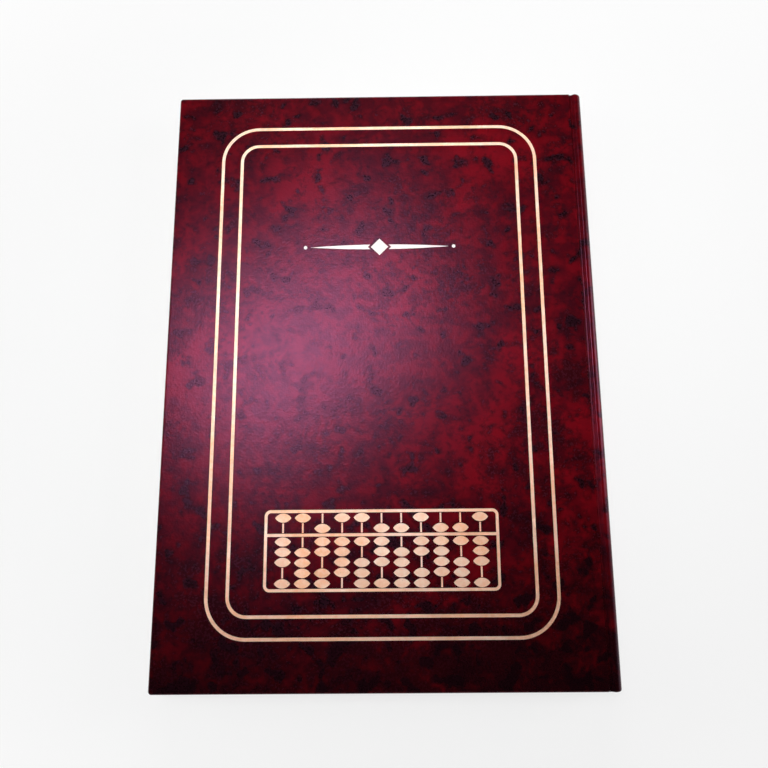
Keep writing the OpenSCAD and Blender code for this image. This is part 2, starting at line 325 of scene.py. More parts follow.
class Shader:
    """A material or world under construction, with one method that adds any node."""

    def __init__(self, owner: Material | World) -> None:
        """Empties a node tree.

        Args:
            owner: The material or world that has the tree.
        """
        owner.use_nodes = True
        self.owner = owner
        self.tree = owner.node_tree
        self.tree.nodes.clear()

    @classmethod
    def material(cls, name: str) -> "Shader":
        """A shader for a new material."""
        return cls(bpy.data.materials.new(name))

    def node(self, kind: str, settings: dict | None = None, inputs: dict | None = None) -> Node:
        """Adds a node, sets it up and connects it.

        Args:
            kind: Blender's name of the node type.
            settings: Properties of the node, set before its sockets.
            inputs: Values or sockets by the input's name or number.

        Returns:
            The new node.
        """
        made = self.tree.nodes.new(kind)
        for key, value in (settings or {}).items():
            setattr(made, key, value)
        for key, value in (inputs or {}).items():
            if isinstance(value, Sock):
                self.tree.links.new(value.socket, made.inputs[key])
            else:
                made.inputs[key].default_value = value
        return made

    def add(
        self, kind: str, settings: dict | None = None, inputs: dict | None = None, out: int | str = 0
    ) -> Sock:
        """Adds a node and returns the output of a name or number."""
        return Sock(self, self.node(kind, settings, inputs).outputs[out])

    def rest(self) -> Sock:
        """Place at rest in millimetres, from the piece's own attribute."""
        return self.add("ShaderNodeAttribute", {"attribute_name": REST}, out="Vector")

    def place(self) -> Sock:
        """Place on a rigid piece in millimetres, from its object coordinates."""
        local = self.add("ShaderNodeTexCoord", out="Object")
        return self.vector("MULTIPLY", local, (1 / MM,) * 3)

    def vector(self, operation: str, *values: Sock | tuple) -> Sock:
        """Adds a Vector Math node."""
        return self.add("ShaderNodeVectorMath", {"operation": operation}, dict(enumerate(values)))

    def parts(self, vector: Sock) -> tuple[Sock, Sock, Sock]:
        """The X, Y and Z of a vector."""
        split = self.node("ShaderNodeSeparateXYZ", None, {0: vector})
        return tuple(Sock(self, output) for output in split.outputs)

    def cells(self, at: Sock, size: float, spread: float = 0.9) -> Sock:
        """Distance to the middle of the nearest scattered cell, as a share of a cell's size."""
        inputs = {"Vector": at, "Scale": 1 / size, "Randomness": spread}
        return self.add("ShaderNodeTexVoronoi", {"feature": "F1"}, inputs)

    def mix(self, share: Sock | float, a: Sock | tuple, b: Sock | tuple) -> Sock:
        """Mixes two colours, where share is the weight of the second one."""
        settings = {"data_type": "RGBA", "clamp_factor": True}
        return self.add("ShaderNodeMix", settings, {0: share, 6: a, 7: b}, out=2)

    def bump(self, height: Sock, depth: float, strength: float) -> Sock:
        """Normal of a surface whose height varies, where a height of 1 is the depth in millimetres."""
        inputs = {"Height": height, "Distance": depth * MM, "Strength": strength}
        return self.add("ShaderNodeBump", None, inputs)

    def principled(self, inputs: dict) -> Material:
        """Closes a material with a Principled shader.

        Args:
            inputs: Values or sockets by the shader's input name.

        Returns:
            The finished material.
        """
        surface = self.add("ShaderNodeBsdfPrincipled", None, inputs)
        self.node("ShaderNodeOutputMaterial", None, {"Surface": surface})
        return self.owner


def rgb(red: float, green: float, blue: float) -> tuple[float, float, float, float]:
    """Linear colour from red, green and blue out of 255 as they look on a screen."""
    linear = [((c / 255 + 0.055) / 1.055) ** 2.4 if c > 10 else c / 255 / 12.92 for c in (red, green, blue)]
    return (*linear, 1.0)


@dataclass(frozen=True)
class Cloud:
    """Cloud noise: its size in millimetres, its finer octaves and their weight, and the range that shows."""

    size: float
    detail: float = 2.0
    rough: float = 0.5
    low: float = 0.3
    high: float = 0.7

    def noise(self, at: Sock, out: str = "Fac") -> Sock:
        """The plain noise at a place in millimetres, about 0.5."""
        inputs = {"Vector": at, "Scale": 1 / self.size, "Detail": self.detail, "Roughness": self.rough}
        return at.shader.add("ShaderNodeTexNoise", None, inputs, out)

    def patches(self, at: Sock, more: Sock | float = 0.0) -> Sock:
        """Goes from 0 to 1 as the noise, raised by more, passes through the range that shows."""
        return (self.noise(at) + more).ramp(self.low, self.high)


@dataclass(frozen=True)
class Leatherette:
    """Marbled burgundy leatherette with dark clouds and a fine pressed grain, darkened towards the tail by
    painted shade.
    """

    bright: tuple = rgb(120, 6, 16)
    red: tuple = rgb(98, 3, 10)
    deep: tuple = rgb(66, 2, 8)
    dark: tuple = rgb(12, 2, 3)
    rubbed: tuple = rgb(158, 74, 72)
    drift: Cloud = Cloud(18.0)
    drift_reach: float = 9.0
    mottle: Cloud = Cloud(7.0, 3.0, 0.55, 0.35, 0.65)
    patch: Cloud = Cloud(38.0, 3.0, 0.5, 0.5, 0.7)
    patch_share: float = 0.75
    broad: Cloud = Cloud(60.0)
    cloud: Cloud = Cloud(11.0, 4.0, 0.6)
    fleck: Cloud = Cloud(3.2, 3.0, 0.6)
    cloud_range: tuple = (0.45, 0.67)
    cloud_share: float = 0.8
    spot: Cloud = Cloud(9.0, 2.0, 0.5, 0.53, 0.68)
    spot_share: float = 0.95
    # Painted shade towards the tail: where it starts and ends, how much it thickens clouds and spots, and
    # how far it darkens the colour.
    tail_shade_zone: tuple = (55.0, 150.0)
    tail_shade_clouds: float = 0.12
    tail_shade_spots: float = 0.08
    tail_shade_share: float = 0.5
    rub: Cloud = Cloud(2.4, 3.0, 0.65, 0.4, 0.7)
    rub_width: float = 1.1
    rub_share: float = 0.5
    grain: float = 1.05
    pore: Cloud = Cloud(0.35, 2.0, 0.6)
    pillow: Cloud = Cloud(3.2)
    relief: tuple = (0.1, 0.45)
    gloss: Cloud = Cloud(1.1, 2.0, 0.6)
    smoothest: float = 0.19
    specular: float = 0.27
    sheen: tuple = (1.0, 0.34, 0.68, 1.0)

    def make(self) -> Material:
        """Marbles the sheet, rubs its outer edges and presses a cell grain into it.

        Returns:
            The material.
        """
        s = Shader.material("marbled_leatherette")
        at = s.rest()
        x, y, z = s.parts(at)
        marbled, shade = self.marbling(s, at, y)
        rub = self.rubbed_edges(x, y, z) * self.rub.patches(at)
        grain = s.cells(at, self.grain) * 0.75 + self.pore.noise(at) * 0.45 + self.pillow.noise(at) * 0.5
        return s.principled({
            "Base Color": s.mix(rub * self.rub_share, marbled, self.rubbed),
            "Roughness": self.smoothest + self.gloss.noise(at) * 0.1 + shade * 0.04 + rub * 0.2,
            "Specular IOR Level": self.specular,
            "Specular Tint": self.sheen,
            "Normal": s.bump(grain, *self.relief),
        })

    def marbling(self, s: Shader, at: Sock, y: Sock) -> tuple[Sock, Sock]:
        """Three reds in soft patches, under dark clouds and spots, with painted shade towards the tail that
        closes up the clouds and spots and darkens the colour.

        The patches and clouds are read at a place that a slow noise has pushed aside.

        Args:
            s: The material.
            at: Place in millimetres.
            y: Place up the case in millimetres.

        Returns:
            The colour, and how dark it is.
        """
        push = s.vector("SUBTRACT", self.drift.noise(at, "Color"), (0.5,) * 3)
        bent = s.vector("MULTIPLY_ADD", push, (self.drift_reach,) * 3, at)
        darker = s.mix(self.mottle.patches(bent), self.deep, self.red)
        reds = s.mix(self.patch.patches(bent) * self.patch_share, darker, self.bright)
        # Painted shade: towards the tail the clouds and spots close up and the whole colour is darkened,
        # standing in for light that falls off there.
        tail = (0.0 - y).ramp(*self.tail_shade_zone)
        clouds = self.cloud.noise(bent) * 0.55 + self.fleck.noise(bent) * 0.45
        clouds = clouds + (self.broad.noise(at) - 0.5) * 0.3 + tail * self.tail_shade_clouds
        spots = self.spot.patches(at, tail * self.tail_shade_spots)
        shade = (clouds.ramp(*self.cloud_range) * self.cloud_share).most(spots * self.spot_share)
        return s.mix(shade + (1.0 - shade) * tail * self.tail_shade_share, reds, self.dark), shade

    def rubbed_edges(self, x: Sock, y: Sock, z: Sock) -> Sock:
        """1 along the outer edges of the case, where two of its outer faces meet, and 0 away from them.

        Args:
            x: Place across the case in millimetres.
            y: Place up the case in millimetres.
            z: Height in millimetres.

        Returns:
            The share of rubbing before it is broken up.
        """
        sizes = Sizes()
        middle = sizes.total_t / 2
        inside = (sizes.spine_x - abs(x), sizes.cover_h / 2 - abs(y), middle - abs(z - middle))
        side, end, face = (depth.ramp(0.0, self.rub_width, 1.0, 0.0) for depth in inside)
        return (side * end).most((side * face).most(end * face))


@dataclass(frozen=True)
class Foil:
    """Hot-stamped metal foil that follows the grain and misses a few pores."""

    name: str
    metal: tuple
    pale: tuple
    metallic: float = 0.92
    missed: tuple = rgb(92, 24, 26)
    drift: Cloud = Cloud(26.0)
    flicker: Cloud = Cloud(2.2, 2.0, 0.6)
    pore: Cloud = Cloud(0.55, 3.0, 0.65, 0.66, 0.74)
    grain: float = 0.75
    fine: Cloud = Cloud(0.4, 3.0, 0.6)
    pillow: Cloud = Cloud(3.0, 1.0)
    relief: tuple = (0.12, 0.75)
    gloss: Cloud = Cloud(1.3, 2.0, 0.6)
    smoothest: float = 0.46

    def make(self) -> Material:
        """Lets the tone wander between two metals, with worn flecks where the grain is deep.

        Returns:
            The material.
        """
        s = Shader.material(self.name)
        at = s.place()
        tone = self.drift.patches(at) * 0.6 + self.flicker.patches(at) * 0.4
        worn = self.pore.patches(at)
        film = s.mix(tone, self.metal, self.pale)
        height = s.cells(at, self.grain) * 0.7 + self.fine.noise(at) * 0.6 + self.pillow.noise(at) * 0.5
        return s.principled({
            "Base Color": s.mix(worn * 0.7, film, self.missed),
            "Metallic": self.metallic * (1.0 - worn * 0.65),
            "Roughness": self.smoothest + self.gloss.noise(at) * 0.16,
            "Normal": s.bump(height, *self.relief),
        })


@dataclass(frozen=True)
class Ruling:
    """Layout of the ruled page, as places on the closed journal in millimetres."""

    row: float = 8.0
    head: float = 118.0
    foot: float = -134.0
    left: float = -95.0
    right: float = 94.0
    columns: tuple = (-59.0, -24.0, -10.0, 72.0)
    double: float = 1.0
    line: float = 0.28
    upright: float = 0.168


@dataclass(frozen=True)
class LeafPaper:
    """Uncoated writing paper, ruled for accounts, whose cut edges vary leaf by leaf."""

    white: tuple = rgb(243, 238, 222)
    warm: tuple = rgb(226, 216, 192)
    blue: tuple = rgb(120, 158, 190)
    red: tuple = rgb(196, 92, 96)
    fibre: Cloud = Cloud(0.9, 4.0, 0.7)
    cloud: Cloud = Cloud(45.0)
    relief: tuple = (0.02, 0.4)
    row_ink: float = 0.75
    bar_ink: float = 0.8
    ruling: Ruling = Ruling()

    def make(self) -> Material:
        """Tones each leaf on its own, adds fibres, and rules rows and columns inside a frame.

        Returns:
            The material.
        """
        s = Shader.material("ruled_paper")
        at = s.rest()
        x, y, _ = s.parts(at)
        r = self.ruling
        tone = s.add("ShaderNodeAttribute", {"attribute_name": TONE}, out="Fac")
        fibre = self.fibre.noise(at)
        aged = tone * 0.55 + (fibre - 0.5) * 0.5 + self.cloud.noise(at) * 0.2
        wide = abs(x - (r.left + r.right) / 2) < (r.right - r.left) / 2
        tall = abs(y - (r.head + r.foot) / 2) < (r.head - r.foot) / 2
        rows = (((y - r.head) / r.row).fract() < r.line / r.row) * wide * tall
        levels = (r.head, r.head - r.double, r.head - 2 * r.row, r.foot)
        bars = [(abs(x - place) < r.upright) * tall for place in (r.left, *r.columns, r.right)]
        bars = reduce(Sock.most, bars + [(abs(y - place) < r.line) * wide for place in levels])
        inked = s.mix(rows * self.row_ink, s.mix(aged, self.white, self.warm), self.blue)
        return s.principled({
            "Base Color": s.mix(bars * self.bar_ink, inked, self.red),
            "Roughness": 0.88 + (fibre - 0.5) * 0.15,
            "Specular IOR Level": 0.3,
            "Normal": s.bump(fibre, *self.relief),
        })


@dataclass(frozen=True)
class Sheeting:
    """A plain sheet material: paper, board or kraft with fibres and specks."""

    name: str
    light: tuple
    dark: tuple
    speck: tuple
    cloud: Cloud = Cloud(30.0)
    fibre: Cloud = Cloud(1.2, 5.0, 0.7)
    fibre_stretch: tuple = (1.0, 0.25, 1.0)
    tone_range: tuple = (0.3, 0.7)
    specks: Cloud = Cloud(0.5, 2.0, 0.5, 0.66, 0.72)
    relief: tuple = (0.03, 0.5)

    def make(self) -> Material:
        """Mixes two tones by cloud and fibre noise, with scattered specks.

        Returns:
            The material.
        """
        s = Shader.material(self.name)
        at = s.place()
        fibre = self.fibre.noise(s.vector("MULTIPLY", at, self.fibre_stretch))
        tone = (self.cloud.noise(at) * 0.4 + fibre * 0.6).ramp(*self.tone_range)
        sheet = s.mix(tone, self.light, self.dark)
        return s.principled({
            "Base Color": s.mix(self.specks.patches(at) * 0.6, sheet, self.speck),
            "Roughness": 0.9 - fibre * 0.1,
            "Specular IOR Level": 0.25,
            "Normal": s.bump(fibre, *self.relief),
        })


@dataclass(frozen=True)
class Weave:
    """Open-weave cloth or twisted thread, with yarns that pass over and under."""

    name: str
    yarn: tuple
    gap: tuple
    pitch: float
    yarn_range: tuple = (0.25, 0.6)
    fuzz: Cloud = Cloud(0.12, 3.0, 0.6)
    relief: tuple = (0.08, 0.8)

    def make(self) -> Material:
        """Draws two sets of yarns along Y and across it as rounded ridges.

        Returns:
            The material.
        """
        s = Shader.material(self.name)
        at = s.place()
        x, y, z = s.parts(at)
        across = abs(((x + z) / self.pitch).fract() - 0.5) * 2
        along = abs((y / self.pitch).fract() - 0.5) * 2
        height = across.most(along)
        fuzz = self.fuzz.noise(at)
        yarns = s.mix(fuzz, self.yarn, self.gap)
        return s.principled({
            "Base Color": s.mix(height.ramp(*self.yarn_range), self.gap, yarns),
            "Roughness": 0.85 + fuzz * 0.1,
            "Specular IOR Level": 0.2,
            "Normal": s.bump(height + fuzz * 0.3, *self.relief),
        })


@dataclass(frozen=True)
class BandCloth:
    """Silky striped cloth of the head and tail bands, wound in fine threads."""

    dyed: tuple = rgb(138, 20, 34)
    pale: tuple = rgb(236, 222, 190)
    shadow: tuple = rgb(40, 12, 12)
    stripe: float = 2.4
    stripe_soft: tuple = (-0.04, 0.04)
    wrap: float = 0.6
    valley_range: tuple = (0.35, 0.5)
    fuzz: Cloud = Cloud(0.15, 3.0, 0.6)
    relief: tuple = (0.05, 0.6)

    def make(self) -> Material:
        """Alternates two dyes along the bead, and darkens the valley between two windings.

        Returns:
            The material.
        """
        s = Shader.material("striped_band")
        at = s.rest()
        _, _, z = s.parts(at)
        stripes = ((z / self.stripe).fract() - 0.5).ramp(*self.stripe_soft)
        valley = abs((z / self.wrap).fract() - 0.5).ramp(*self.valley_range)
        fuzz = self.fuzz.noise(at)
        dyes = s.mix(stripes, self.dyed, self.pale)
        return s.principled({
            "Base Color": s.mix(valley * 0.5 + fuzz * 0.15, dyes, self.shadow),
            "Roughness": 0.5 + fuzz * 0.2,
            "Sheen Weight": 0.3,
            "Normal": s.bump(fuzz - valley, *self.relief),
        })


@dataclass
class Covering:
    """Leatherette of one half of the case: a board's face, edges and turn-ins, joint and half spine."""

    sizes: Sizes
    side: CaseSide
    edge_r: float = 1.0
    edge_share: float = 0.45
    edge_steps: int = 8
    lip_r: float = 0.6
    lip_share: float = 0.35
    lip_steps: int = 7
    turn_in_shares: tuple = (0.1, 0.45, 1.0)
    groove_lean: float = 0.7
    joint_fold: float = 0.7
    bend_from: float = 1.2
    bend_past: float = 0.05
    press_slope: float = 0.1
    film_digits: int = 4
    film_level: float = 0.95
    sheet_t: float = 0.25
    smooth_angle: float = 30.0
    last_strip: float = 0.5
    face_steps: tuple = (13, 19)
    joint_steps: int = 22
    drop_steps: int = 5
    ease_steps: int = 3
    shoulder_steps: int = 14
    spine_steps: int = 5

    def fold_profile(self, height: np.ndarray) -> tuple[np.ndarray, np.ndarray]:
        """Section through the fold over an edge, for columns that are wrapped to different heights.

        Level to the edge, a quarter circle down, straight down the edge, a smaller quarter circle
        under it, and back inwards as the turn-in. Row 0 is where the fold starts.

        Args:
            height: Wrapped height of each column.

        Returns:
            Distance outwards and depth under the face, one row per step and one column each.
        """
        s = self.sizes
        outer = np.minimum(self.edge_r, self.edge_share * height)
        inner = np.minimum(self.lip_r, self.lip_share * height)
        core = s.corner_r
        arc = np.linspace(0, math.pi / 2, self.edge_steps)[:, None]
        lip = np.linspace(0, math.pi / 2, self.lip_steps)[:, None]
        back = np.array(self.turn_in_shares)[:, None]
        nought = np.zeros((1, len(height)))
        path = [
            (nought, nought),
            (nought + (core - outer) / 2, nought),
            (core - outer + outer * np.sin(arc), outer * (1 - np.cos(arc))),
            (nought + core, nought + (outer + height - inner) / 2),
            (core - inner + inner * np.cos(lip), height - inner + inner * np.sin(lip)),
            ((core - inner) * (1 - back) + (core - s.turn_in) * back, height + 0 * back),
        ]
        out, down = (np.concatenate(part) for part in zip(*path))
        return out, down

    def joint_path(self) -> tuple[np.ndarray, np.ndarray]:
        """Line of the covering from the board's spine edge to the middle of the spine.

        A squared sine, leaning towards the board, for the groove, a quarter circle for the shoulder
        and a straight back. Beside the board the fold hangs straight down, so that it closes over
        the board's end.

        Returns:
            Points across and up, and the unit vectors against which the fold goes in.
        """
        s = self.sizes
        share = np.linspace(0, 1, self.joint_steps)
        hollow = s.groove_d * np.sin(math.pi * share ** self.groove_lean) ** 2
        groove = np.stack([
            s.board_x + (s.shoulder_x - s.board_x) * share,
            s.total_t - s.shoulder_drop * share - hollow,
        ], 1)
        angle = np.linspace(math.pi / 2, 0, self.shoulder_steps)[1:]
        shoulder = np.stack([
            s.shoulder_x + s.shoulder_r * np.cos(angle),
            s.shoulder_z + s.shoulder_r * np.sin(angle),
        ], 1)
        fall = np.linspace(s.shoulder_z, s.total_t / 2, self.spine_steps)[1:]
        back = np.stack([np.full_like(fall, s.spine_x), fall], 1)
        line = np.concatenate([groove, shoulder, back])
        run = np.gradient(line, axis=0)
        normal = unit(np.stack([-run[:, 1], run[:, 0]], 1))
        normal[-self.spine_steps:] = (1, 0)
        left = self.drop_steps + self.ease_steps - np.arange(len(line))
        upright = np.clip(left / self.ease_steps, 0, 1)[:, None]
        return line, unit(normal * (1 - upright) + np.array([0.0, 1.0]) * upright)

    def columns(self) -> tuple[np.ndarray, ...]:
        """Base line of the sheet from the fore-edge turn-in to the spine.

        Returns:
            Fold step, place, normal and wrapped height of each column, and whether it is on the board.
        """
        s = self.sizes
        steps = len(self.fold_profile(np.array([s.wrap_t]))[0]) - 1
        core_x = s.fore_x + s.corner_r
        face = np.linspace(core_x, s.board_x, self.face_steps[0])
        face = np.insert(face, -1, s.board_x - self.last_strip)
        board = np.append(np.full(steps, core_x), face)[:, None]
        line, normal = self.joint_path()
        stops = [0, self.drop_steps, self.joint_steps - 1, self.joint_steps + self.shoulder_steps - 2]
        heights = [s.wrap_t, self.joint_fold, self.joint_fold, s.spine_board_t + 2 * s.skin_t]
        height = np.interp(np.arange(len(line)), stops, heights)
        count, bare = len(board), len(line) - 1
        return (
            np.append(np.arange(steps, 0, -1), np.zeros(len(face) + bare, int)),
            np.concatenate([lifted(board, s.total_t), line[1:]]),
            np.concatenate([lifted(0 * board, 1.0), normal[1:]]),
            np.append(np.full(count, s.wrap_t), height[1:]),
            np.arange(count + bare) < count,
        )

    def sheet(self) -> tuple[np.ndarray, np.ndarray, np.ndarray]:
        """Folded sheet as a grid of columns from fore edge to spine and rows from tail to head.

        At a corner the fold that is further along wins, and points spread as on a quarter disc.
        Past the edge, where the turn-ins of two sides meet, they stop at the mitre line.

        Returns:
            Grid of points, and masks of the columns and rows that lie on the flat face.
        """
        s = self.sizes
        fold, base, normal, height, on_board = self.columns()
        folds = np.arange(1, fold.max() + 1)
        core_x, core_y = s.fore_x + s.corner_r, s.cover_h / 2 - s.corner_r
        level = np.linspace(-core_y, core_y, self.face_steps[1])
        row_fold = np.concatenate([folds[::-1], np.zeros(len(level), int), folds])
        row_y = np.concatenate([np.full(len(folds), -core_y), level, np.full(len(folds), core_y)])
        out, down = self.fold_profile(height)
        ring = np.maximum(fold[:, None], row_fold)
        at = np.arange(len(base))[:, None]
        reach, depth = out[ring, at], down[ring, at]
        length = np.append(0, np.cumsum(np.hypot(np.diff(out[:, 0]), np.diff(down[:, 0]))))
        ex, ey = np.broadcast_arrays(length[fold][:, None], length[row_fold])
        norm = np.maximum(np.hypot(ex, ey), TINY)
        past, away = np.maximum(-reach, 0), np.maximum(reach, 0)
        x = np.where(past > 0, np.maximum(base[:, :1], core_x + past), base[:, :1] - away * ex / norm)
        y = row_y + np.sign(row_y) * away * ey / norm
        y = np.where(past > 0, np.clip(row_y, past - core_y, core_y - past), y)
        grid = np.stack([x - normal[:, :1] * depth, y, base[:, 1:] - normal[:, 1:] * depth], -1)
        return grid, (fold == 0) & on_board, row_fold == 0

    def stamped_face(self, loop: np.ndarray) -> tuple[np.ndarray, list]:
        """Flat face of the front with a sloped, shallow press under every stamped shape.

        The outlines come from the upper faces of the foil solids. The face is triangulated between
        them, and a slope joins it to the bottom of each press.

        Args:
            loop: Border of the face, counter-clockwise.

        Returns:
            Points and faces.
        """
        s = self.sizes
        outline = np.round(self.foil_outlines(), self.film_digits)
        points, inverse = np.unique(outline, axis=0, return_inverse=True)
        films = inverse.reshape(-1, 3)
        films = films[np.ptp(films, axis=1) > 0]
        edges = np.concatenate([films[:, [0, 1]], films[:, [1, 2]], films[:, [2, 0]]])
        keys = {tuple(edge) for edge in edges.tolist()}
        rim = np.array([edge for edge in edges.tolist() if (edge[1], edge[0]) not in keys])
        run = points[rim[:, 1]] - points[rim[:, 0]]
        outward = unit(np.stack([run[:, 1], -run[:, 0]], 1))
        push = np.zeros_like(points)
        np.add.at(push, rim[:, 0], outward)
        np.add.at(push, rim[:, 1], outward)
        upper = points + unit(push) * self.press_slope
        count = len(loop)
        flat = np.concatenate([loop[:, :2], upper])
        border = np.stack([np.arange(count), np.roll(np.arange(count), -1)], 1)
        fixed = np.concatenate([border, rim + count]).tolist()
        made, _, triangles, *_ = geometry.delaunay_2d_cdt(flat.tolist(), fixed, [], 0, NEAR)
        made, triangles = np.array([tuple(v) for v in made]), np.array(triangles)
        leather = ~self.enclosed(made[triangles].mean(1), upper[rim[:, 0]], upper[rim[:, 1]])
        levels = [lifted(made, s.total_t), lifted(upper, s.total_t), lifted(points, s.total_t - s.stamp_d)]
        first, second = len(made), len(made) + len(upper)
        walls = np.concatenate([rim + first, rim[:, ::-1] + second], 1)
        return np.concatenate(levels), [*triangles[leather], *walls, *(films + second)]

    def enclosed(self, at: np.ndarray, start: np.ndarray, end: np.ndarray) -> np.ndarray:
        """Which points lie inside closed outlines: a level line from them crosses an odd number of edges.

        Args:
            at: The points.
            start: First point of each edge.
            end: Second point of each edge.

        Returns:
            Mask of the points.
        """
        x, y = at[:, None, 0], at[:, None, 1]
        spans = (start[None, :, 1] > y) != (end[None, :, 1] > y)
        rise = end[:, 1] - start[:, 1]
        rise = np.where(np.abs(rise) < LEVEL, LEVEL, rise)
        cross = start[None, :, 0] + (y - start[None, :, 1]) * ((end - start)[:, 0] / rise)[None]
        return np.sum(spans & (cross > x), 1) % 2 == 1

    def foil_outlines(self) -> np.ndarray:
        """Upper triangles of all foil solids of the frame, in plan.

        Returns:
            Corner points, three per triangle.
        """
        corners = []
        for name, node in frame["nodes"].items():
            if not name.startswith("foil_"):
                continue
            mesh = node.data
            mesh.calc_loop_triangles()
            numbers = np.zeros(len(mesh.loop_triangles) * 3, np.int32)
            mesh.loop_triangles.foreach_get("vertices", numbers)
            triangle = places(mesh)[numbers.reshape(-1, 3)]
            up = np.cross(triangle[:, 1] - triangle[:, 0], triangle[:, 2] - triangle[:, 0])
            upper = up[:, 2] > self.film_level * np.linalg.norm(up, axis=1)
            corners.append(triangle[upper][:, :, :2].reshape(-1, 2))
        return np.concatenate(corners)

    def build(self, finish: Material) -> Object:
        """Builds, thickens and dresses the covering.

        Args:
            finish: Material of the leatherette.

        Returns:
            The finished piece.
        """
        s = self.sizes
        grid, on_face, on_level = self.sheet()
        points, quads = surface(*np.moveaxis(grid, -1, 0))
        if self.side is CaseSide.FRONT:
            level = on_face[:, None] & on_level
            flat = (level[:-1, :-1] & level[1:, 1:]).ravel()
            core = grid[on_face][:, on_level]
            loop = np.concatenate([core[:-1, 0], core[-1, :-1], core[:0:-1, -1], core[0, :0:-1]])
            extra, faces = self.stamped_face(loop)
            faces = [*quads[~flat], *(np.asarray(face) + len(points) for face in faces)]
            points = np.concatenate([points, extra])
        else:
            points = points * (1, 1, -1) + (0, 0, s.total_t)
            faces = list(quads[:, ::-1])
        piece = to_object(f"{self.side.value}_covering", points, faces, weld=True)
        thick = piece.modifiers.new("thickness", "SOLIDIFY")
        thick.thickness = self.sheet_t * MM
        thick.offset = -1
        apply_modifiers(piece)
        dress(piece, self.smooth_angle, finish)
        if self.side is CaseSide.FRONT:
            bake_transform(piece)
            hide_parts("front_leatherette", "front_joint", "spine_leatherette")
        else:
            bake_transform(piece)
            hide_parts("back_leatherette", "back_joint")
        return piece


@dataclass
class Section:
    """One sewn section: folded sheets nested in each other, cut a little unevenly."""

    sizes: Sizes
    number: int
    air: float = 0.018
    uneven: float = 0.14
    arch: float = 30.0
    arch_depth: float = 1.0
    arch_steps: int = 34
    flat_steps: int = 5
    fold_steps: int = 9
    smooth_angle: float = 40.0
    seed: int = 400
    tone_range: tuple = (0.1, 0.9)

    @property
    def opens(self) -> bool:
        """Whether the section lies beside the opening."""
        return self.number - self.sizes.half_sections in (0, 1)

    def sheet(self, inner: int, draw: np.random.Generator) -> Shell:
        """One folded sheet: a lower leaf, a half circle round the fold and an upper leaf.

        The steps along a leaf get shorter towards the fold, as the square of the distance from it.

        Args:
            inner: Number of sheets nested inside this one.
            draw: Source of the small differences between leaves.

        Returns:
            Points and quads of a closed thin solid.
        """
        s = self.sizes
        radii = np.array([inner * s.leaf_t + self.air / 2, (inner + 1) * s.leaf_t - self.air / 2])
        bend_x = s.fold_x - s.sheets * s.leaf_t
        share = 1 - np.linspace(1, 0, self.arch_steps if self.opens else self.flat_steps) ** 2
        cuts = s.page_fore + draw.uniform(0, self.uneven, 2)
        low, high = (cut + (bend_x - cut) * share for cut in cuts)
        ends = s.page_h / 2 - draw.uniform(0, self.uneven, 2)
        fold = np.linspace(-math.pi / 2, math.pi / 2, self.fold_steps)
        flat = np.ones(len(share))
        turn = np.concatenate([fold[0] * flat, fold[1:-1], fold[-1] * flat])[:, None]
        base = np.concatenate([low, np.full(len(fold) - 2, bend_x), high[::-1]])[:, None]
        x = base + np.cos(turn) * radii
        z = s.section_z(self.number) + np.sin(turn) * radii
        layer, end = np.array([0, 1, 1, 0]), np.array([-ends[0], -ends[0], ends[1], ends[1]])
        x, z = x[:, layer], z[:, layer]
        points = np.stack([x, np.broadcast_to(end, x.shape), z], -1).reshape(-1, 3)
        ring = numbered(*x.shape)
        sides = grid_quads(np.concatenate([ring, ring[:, :1]], 1))
        return points, np.concatenate([sides, ring[:1], ring[-1:, ::-1]])[:, ::-1]

    def build(self, finish: Material) -> Object:
        """Nests the sheets, tones them leaf by leaf and lets them ride on their body, apart from the two
        beside the opening, which stay where they are.

        Args:
            finish: Material of the leaves.

        Returns:
            The finished piece.
        """
        s = self.sizes
        draw = np.random.default_rng(self.seed + self.number)
        whole = draw.uniform(*self.tone_range)
        shells, tones = [], []
        for inner in range(s.sheets):
            shells.append(self.sheet(inner, draw))
            tones.append(np.full(len(shells[-1][0]), (whole + draw.uniform(0, 1)) / 2))
        node = f"section_{self.number:02d}"
        piece = to_object(f"leaves_{self.number:02d}", *joined(shells))
        dress(piece, self.smooth_angle, finish)
        keep(piece, TONE, np.concatenate(tones))
        self.carry(piece, node)
        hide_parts(node)
        return piece

    def carry(self, piece: Object, node: str) -> None:
        """Rides a section on its body, or leaves one of the two beside the opening where it is.

        For those two it works out two points about the gutter from the arch's length and depth, but does not
        use them.

        Args:
            piece: The section's leaves.
            node: The solid that they stand for.
        """
        s = self.sizes
        if not self.opens:
            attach(piece, piece_body(node))
            return
        side = -1 if self.number > s.half_sections else 1
        gutter = np.array([s.shoulder_x, 0.0, s.gutter_z])
        climb = np.array([0.5 * side / self.arch, 0.0, 0.5 / self.arch_depth])
        step = climb / (climb @ climb)
        start, end = (gutter - step / 2) * MM, (gutter + step / 2) * MM
        tuple(start)
        tuple(end)
        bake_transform(piece)


def piece_body(node: str) -> str:
    """Body of the frame that carries a solid."""
    return next(body for body, nodes in frame["record"]["behaviour"]["bodies"].items() if node in nodes)


